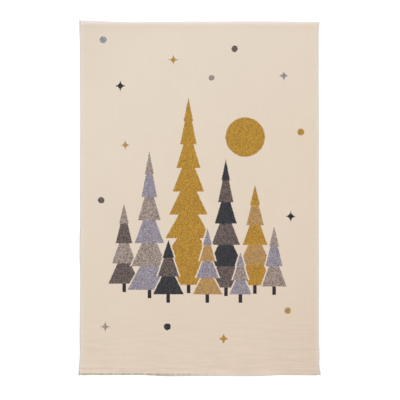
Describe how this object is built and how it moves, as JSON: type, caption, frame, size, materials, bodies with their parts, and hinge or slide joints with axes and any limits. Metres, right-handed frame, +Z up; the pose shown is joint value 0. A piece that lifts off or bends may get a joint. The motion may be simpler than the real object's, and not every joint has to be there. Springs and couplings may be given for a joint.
{
  "type": "kids rug",
  "caption": "Flat rectangular short-pile rug for a child's room, with turned-under ends and overlocked long sides, to lie on a floor.",
  "frame": {"origin": "on the floor, under the middle of the rug's box", "axes": "+X across the rug, +Y along its longer side, +Z up from the floor to the pile"},
  "size_m": [1.213, 1.7778, 0.0129],
  "materials": {
    "pile": "short dense cut pile of matt cream yarn, woven",
    "overlock_yarn": "pale soft yarn wound closely round the edge"
  },
  "bodies": {
    "root": {"pile_cloth": "pile", "overlock_left": "overlock_yarn", "overlock_right": "overlock_yarn"}
  },
  "joints": []
}
